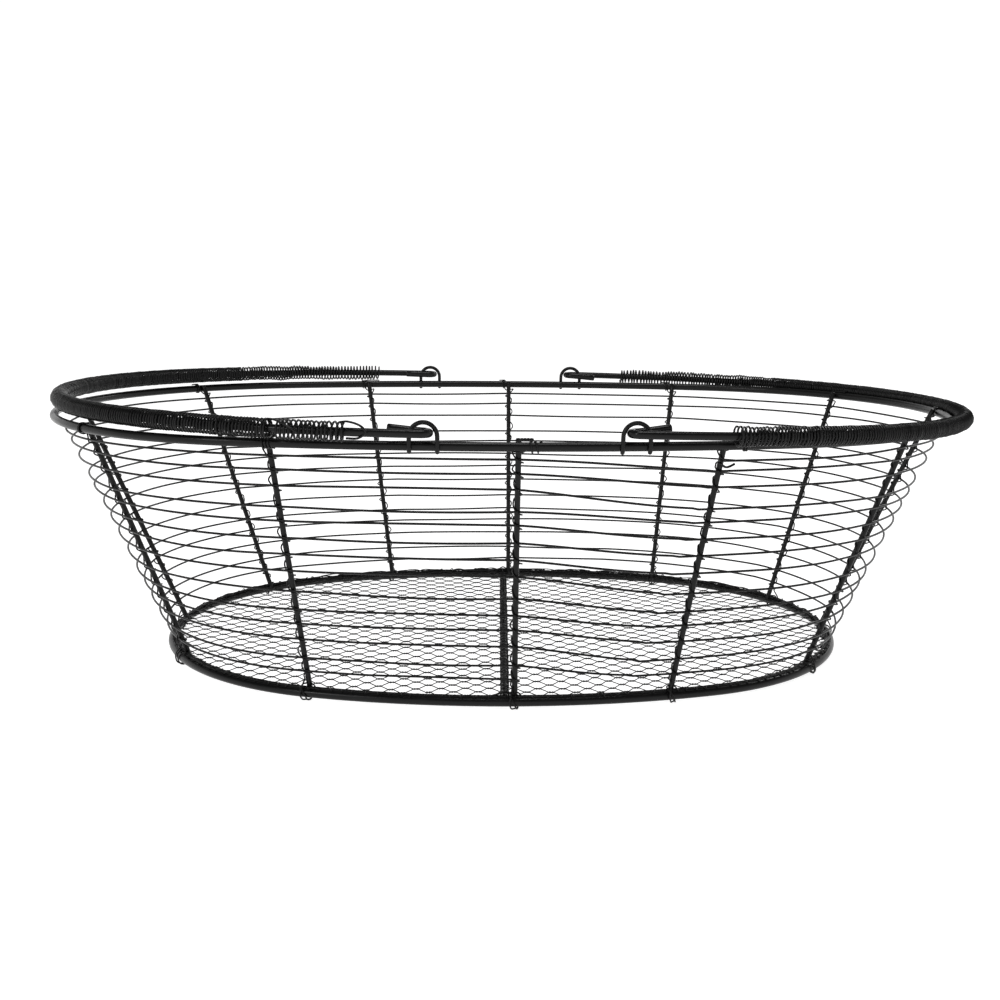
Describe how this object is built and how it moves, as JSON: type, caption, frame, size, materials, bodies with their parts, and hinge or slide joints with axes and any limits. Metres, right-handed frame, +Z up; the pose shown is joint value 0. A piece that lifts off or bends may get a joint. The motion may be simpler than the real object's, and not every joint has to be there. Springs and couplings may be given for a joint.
{
  "type": "wire produce basket",
  "caption": "Oval wire basket with tapered sides, diamond-mesh floor and two folding handles wound with wire; holds fruit and vegetables while they are gathered or washed.",
  "frame": {"origin": "middle of the base ring, on the plane the basket stands on", "axes": "+X along the basket's length towards its right handle, -Y its front, +Z up"},
  "size_m": [0.5754, 0.3728, 0.1653],
  "materials": {
    "ring_rod": "satin black paint on round steel rod",
    "rib_rod": "satin black paint on steel rod",
    "side_wire": "satin black paint on thin steel wire",
    "floor_mesh": "satin black paint on thin diamond mesh",
    "lashing_wire": "satin black paint on soft binding wire",
    "staple_wire": "satin black paint on bent steel wire",
    "handle_rod": "satin black paint on round steel rod",
    "grip_wire": "satin black paint on closely wound steel wire"
  },
  "bodies": {
    "basket": {"rim_ring": "ring_rod", "base_ring": "ring_rod", "base_brace": "rib_rod", "brace_ties": "lashing_wire", "floor_mesh": "floor_mesh", "side_wire": "side_wire", "rib_01": "rib_rod", "rib_02": "rib_rod", "rib_03": "rib_rod", "rib_04": "rib_rod", "rib_05": "rib_rod", "rib_06": "rib_rod", "rib_07": "rib_rod", "rib_08": "rib_rod", "rib_09": "rib_rod", "rib_10": "rib_rod", "rib_11": "rib_rod", "rib_12": "rib_rod", "lashing_01": "lashing_wire", "lashing_02": "lashing_wire", "lashing_03": "lashing_wire", "lashing_04": "lashing_wire", "lashing_05": "lashing_wire", "lashing_06": "lashing_wire", "lashing_07": "lashing_wire", "lashing_08": "lashing_wire", "lashing_09": "lashing_wire", "lashing_10": "lashing_wire", "lashing_11": "lashing_wire", "lashing_12": "lashing_wire", "staple_front_left": "staple_wire", "staple_front_right": "staple_wire", "staple_back_left": "staple_wire", "staple_back_right": "staple_wire"},
    "left_handle": {"left_handle_rod": "handle_rod", "left_grip": "grip_wire"},
    "right_handle": {"right_handle_rod": "handle_rod", "right_grip": "grip_wire"}
  },
  "joints": [
    {"name": "left_handle_hinge", "type": "hinge", "parent": "basket", "child": "left_handle", "pos_m": [-0.0469, 0, 0.15655], "axis": [0, 1, 0], "range_deg": [0, 101]},
    {"name": "right_handle_hinge", "type": "hinge", "parent": "basket", "child": "right_handle", "pos_m": [0.0561, 0, 0.15655], "axis": [0, -1, 0], "range_deg": [0, 101]}
  ]
}
